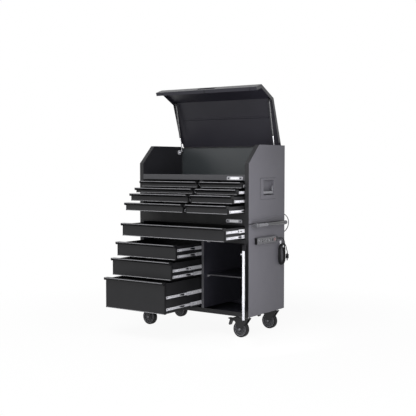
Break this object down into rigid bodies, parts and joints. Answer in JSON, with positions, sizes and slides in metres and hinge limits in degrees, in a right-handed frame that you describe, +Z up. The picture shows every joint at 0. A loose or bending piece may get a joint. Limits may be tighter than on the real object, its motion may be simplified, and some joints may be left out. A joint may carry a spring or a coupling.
{
  "type": "tool chest and rolling cabinet",
  "caption": "Steel tool chest with a hinged lid on a rolling cabinet with ball-bearing drawers, a cupboard door, carrying handles, a power strip and braked casters.",
  "frame": {"origin": "middle of the flat underside of the cabinet's base, above the casters", "axes": "+Z up, +X to the right as seen from the front, -Y towards the front where the drawers open"},
  "size_m": [1.2511, 1.1246, 1.9601],
  "materials": {
    "drawer_paint": "satin black-grey powder coat",
    "side_paint": "satin grey powder coat",
    "inner_paint": "satin dark powder coat",
    "zinc_steel": "bright zinc plated",
    "chrome_steel": "polished chrome",
    "black_steel": "black powder coat",
    "wheel_rubber": "matt rubber on a plastic core",
    "black_plastic": "fine moulded texture",
    "red_plastic": "translucent lit rocker",
    "cord_rubber": "smooth matt cord sheath"
  },
  "bodies": {
    "carcass": {"cabinet_left_side": "side_paint", "cabinet_right_side": "side_paint", "cabinet_back": "drawer_paint", "cabinet_floor": "drawer_paint", "cabinet_divider": "inner_paint", "cabinet_mid_deck": "drawer_paint", "cabinet_top": "drawer_paint", "compartment_shelf": "inner_paint", "chest_left_side": "side_paint", "chest_right_side": "side_paint", "chest_back": "drawer_paint", "chest_base": "drawer_paint", "hutch_tray": "drawer_paint", "chest_divider": "inner_paint", "lid_hinge": "zinc_steel", "door_hinge": "zinc_steel", "rigid_fork_front": "black_steel", "rigid_fork_rear": "black_steel", "power_strip_housing": "black_plastic", "push_handle": "chrome_steel", "side_handle_cup_left": "black_plastic", "side_handle_cup_right": "black_plastic", "power_cord_tube": "cord_rubber", "power_cord_hank": "cord_rubber", "power_plug": "cord_rubber", "rear_lead": "cord_rubber"},
    "chest_drawer_left_4": {"chest_drawer_left_4": "drawer_paint"},
    "chest_drawer_right_4": {"chest_drawer_right_4": "drawer_paint"},
    "chest_drawer_left_3": {"chest_drawer_left_3": "drawer_paint"},
    "chest_drawer_right_3": {"chest_drawer_right_3": "drawer_paint"},
    "chest_drawer_left_2": {"chest_drawer_left_2": "drawer_paint"},
    "chest_drawer_right_2": {"chest_drawer_right_2": "drawer_paint"},
    "chest_drawer_left_1": {"chest_drawer_left_1": "drawer_paint"},
    "chest_drawer_right_1": {"chest_drawer_right_1": "drawer_paint"},
    "cabinet_drawer_lower": {"cabinet_drawer_lower": "drawer_paint"},
    "slide_middle_lower": {"slide_middle_lower": "zinc_steel"},
    "cabinet_drawer_middle": {"cabinet_drawer_middle": "drawer_paint"},
    "slide_middle_middle": {"slide_middle_middle": "zinc_steel"},
    "cabinet_drawer_upper": {"cabinet_drawer_upper": "drawer_paint"},
    "slide_middle_upper": {"slide_middle_upper": "zinc_steel"},
    "cabinet_drawer_full": {"cabinet_drawer_full": "drawer_paint"},
    "slide_middle_full": {"slide_middle_full": "zinc_steel"},
    "lid": {"lid": "drawer_paint"},
    "strut_rod_left": {"strut_rod_left": "chrome_steel"},
    "strut_cylinder_left": {"strut_cylinder_left": "black_steel"},
    "strut_rod_right": {"strut_rod_right": "chrome_steel"},
    "strut_cylinder_right": {"strut_cylinder_right": "black_steel"},
    "door": {"door_panel": "drawer_paint", "door_catch": "zinc_steel"},
    "swivel_fork_front": {"swivel_fork_front": "black_steel"},
    "wheel_left_front": {"wheel_left_front": "wheel_rubber"},
    "wheel_right_front": {"wheel_right_front": "wheel_rubber"},
    "brake_pedal_front": {"brake_pedal_front": "black_plastic"},
    "swivel_fork_rear": {"swivel_fork_rear": "black_steel"},
    "wheel_left_rear": {"wheel_left_rear": "wheel_rubber"},
    "wheel_right_rear": {"wheel_right_rear": "wheel_rubber"},
    "brake_pedal_rear": {"brake_pedal_rear": "black_plastic"},
    "side_handle_bail_left": {"side_handle_bail_left": "black_plastic"},
    "side_handle_bail_right": {"side_handle_bail_right": "black_plastic"},
    "power_rocker": {"power_rocker": "red_plastic"}
  },
  "joints": [
    {"name": "chest_drawer_left_4_travel", "type": "slide", "parent": "carcass", "child": "chest_drawer_left_4", "axis": [0, -1, 0], "range_m": [-0.222, 0.128]},
    {"name": "chest_drawer_right_4_travel", "type": "slide", "parent": "carcass", "child": "chest_drawer_right_4", "axis": [0, -1, 0], "range_m": [-0.222, 0.128]},
    {"name": "chest_drawer_left_3_travel", "type": "slide", "parent": "carcass", "child": "chest_drawer_left_3", "axis": [0, -1, 0], "range_m": [-0.157, 0.193]},
    {"name": "chest_drawer_right_3_travel", "type": "slide", "parent": "carcass", "child": "chest_drawer_right_3", "axis": [0, -1, 0], "range_m": [-0.157, 0.193]},
    {"name": "chest_drawer_left_2_travel", "type": "slide", "parent": "carcass", "child": "chest_drawer_left_2", "axis": [0, -1, 0], "range_m": [-0.092, 0.258]},
    {"name": "chest_drawer_right_2_travel", "type": "slide", "parent": "carcass", "child": "chest_drawer_right_2", "axis": [0, -1, 0], "range_m": [-0.092, 0.258]},
    {"name": "chest_drawer_left_1_travel", "type": "slide", "parent": "carcass", "child": "chest_drawer_left_1", "axis": [0, -1, 0], "range_m": [-0.03, 0.32]},
    {"name": "chest_drawer_right_1_travel", "type": "slide", "parent": "carcass", "child": "chest_drawer_right_1", "axis": [0, -1, 0], "range_m": [-0.03, 0.32]},
    {"name": "cabinet_drawer_lower_travel", "type": "slide", "parent": "carcass", "child": "cabinet_drawer_lower", "axis": [0, -1, 0], "range_m": [-0.467, 0.013]},
    {"name": "slide_middle_lower_travel", "type": "slide", "parent": "carcass", "child": "slide_middle_lower", "axis": [0, -1, 0], "range_m": [-0.2336, 0.0066]},
    {"name": "cabinet_drawer_middle_travel", "type": "slide", "parent": "carcass", "child": "cabinet_drawer_middle", "axis": [0, -1, 0], "range_m": [-0.386, 0.094]},
    {"name": "slide_middle_middle_travel", "type": "slide", "parent": "carcass", "child": "slide_middle_middle", "axis": [0, -1, 0], "range_m": [-0.1931, 0.0471]},
    {"name": "cabinet_drawer_upper_travel", "type": "slide", "parent": "carcass", "child": "cabinet_drawer_upper", "axis": [0, -1, 0], "range_m": [-0.329, 0.151]},
    {"name": "slide_middle_upper_travel", "type": "slide", "parent": "carcass", "child": "slide_middle_upper", "axis": [0, -1, 0], "range_m": [-0.1646, 0.0756]},
    {"name": "cabinet_drawer_full_travel", "type": "slide", "parent": "carcass", "child": "cabinet_drawer_full", "axis": [0, -1, 0], "range_m": [-0.265, 0.215]},
    {"name": "slide_middle_full_travel", "type": "slide", "parent": "carcass", "child": "slide_middle_full", "axis": [0, -1, 0], "range_m": [-0.1326, 0.1076]},
    {"name": "lid_swing", "type": "hinge", "parent": "carcass", "child": "lid", "pos_m": [0, 0.275, 1.316], "axis": [-1, 0, 0], "range_deg": [-72, 0]},
    {"name": "strut_rod_left_turn", "type": "hinge", "parent": "carcass", "child": "strut_rod_left", "pos_m": [-0.466, 0.223, 1.271], "axis": [-1, 0, 0], "range_deg": [-73.74, 0.1]},
    {"name": "strut_cylinder_left_slide", "type": "slide", "parent": "strut_rod_left", "child": "strut_cylinder_left", "axis": [0, -0.2053, 0.9787], "range_m": [-0.0803, 0.0002]},
    {"name": "strut_rod_right_turn", "type": "hinge", "parent": "carcass", "child": "strut_rod_right", "pos_m": [0.466, 0.223, 1.271], "axis": [-1, 0, 0], "range_deg": [-73.74, 0.1]},
    {"name": "strut_cylinder_right_slide", "type": "slide", "parent": "strut_rod_right", "child": "strut_cylinder_right", "axis": [0, -0.2053, 0.9787], "range_m": [-0.0803, 0.0002]},
    {"name": "door_swing", "type": "hinge", "parent": "carcass", "child": "door", "pos_m": [0.505, -0.2738, 0.302], "axis": [0, 0, 1], "range_deg": [-122.6, 50]},
    {"name": "swivel_fork_front_turn", "type": "hinge", "parent": "carcass", "child": "swivel_fork_front", "pos_m": [0.477, -0.213, -0.012], "axis": [0, 0, 1], "continuous": true},
    {"name": "wheel_right_front_spin", "type": "hinge", "parent": "swivel_fork_front", "child": "wheel_right_front", "pos_m": [0.432, -0.213, -0.1055], "axis": [0, 1, 0], "continuous": true},
    {"name": "brake_pedal_front_press", "type": "hinge", "parent": "swivel_fork_front", "child": "brake_pedal_front", "pos_m": [0.393, -0.213, -0.038], "axis": [0, -1, 0], "range_deg": [0, 12]},
    {"name": "wheel_left_front_spin", "type": "hinge", "parent": "carcass", "child": "wheel_left_front", "pos_m": [-0.477, -0.213, -0.1055], "axis": [0, 1, 0], "continuous": true},
    {"name": "swivel_fork_rear_turn", "type": "hinge", "parent": "carcass", "child": "swivel_fork_rear", "pos_m": [0.477, 0.213, -0.012], "axis": [0, 0, 1], "continuous": true},
    {"name": "wheel_right_rear_spin", "type": "hinge", "parent": "swivel_fork_rear", "child": "wheel_right_rear", "pos_m": [0.432, 0.213, -0.1055], "axis": [0, 1, 0], "continuous": true},
    {"name": "brake_pedal_rear_press", "type": "hinge", "parent": "swivel_fork_rear", "child": "brake_pedal_rear", "pos_m": [0.393, 0.213, -0.038], "axis": [0, -1, 0], "range_deg": [0, 12]},
    {"name": "wheel_left_rear_spin", "type": "hinge", "parent": "carcass", "child": "wheel_left_rear", "pos_m": [-0.477, 0.213, -0.1055], "axis": [0, 1, 0], "continuous": true},
    {"name": "side_handle_bail_left_swing", "type": "hinge", "parent": "carcass", "child": "side_handle_bail_left", "pos_m": [-0.5245, 0.018, 0.996], "axis": [0, 1, 0], "range_deg": [0, 90]},
    {"name": "side_handle_bail_right_swing", "type": "hinge", "parent": "carcass", "child": "side_handle_bail_right", "pos_m": [0.5245, 0.018, 0.996], "axis": [0, -1, 0], "range_deg": [0, 90]},
    {"name": "power_rocker_tilt", "type": "hinge", "parent": "carcass", "child": "power_rocker", "pos_m": [0.552, 0.078, 0.578], "axis": [0, 0, 1], "range_deg": [-16, 0]}
  ],
  "couplings": [
    {"joint": "slide_middle_lower_travel", "follows": "cabinet_drawer_lower_travel", "ratio": 0.5},
    {"joint": "slide_middle_middle_travel", "follows": "cabinet_drawer_middle_travel", "ratio": 0.5},
    {"joint": "slide_middle_upper_travel", "follows": "cabinet_drawer_upper_travel", "ratio": 0.5},
    {"joint": "slide_middle_full_travel", "follows": "cabinet_drawer_full_travel", "ratio": 0.5},
    {"joint": "strut_rod_left_turn", "follows": "lid_swing", "ratio": 1.0227},
    {"joint": "strut_cylinder_left_slide", "follows": "lid_swing", "m_per_rad": 0.063744},
    {"joint": "strut_rod_right_turn", "follows": "lid_swing", "ratio": 1.0227},
    {"joint": "strut_cylinder_right_slide", "follows": "lid_swing", "m_per_rad": 0.063744}
  ]
}
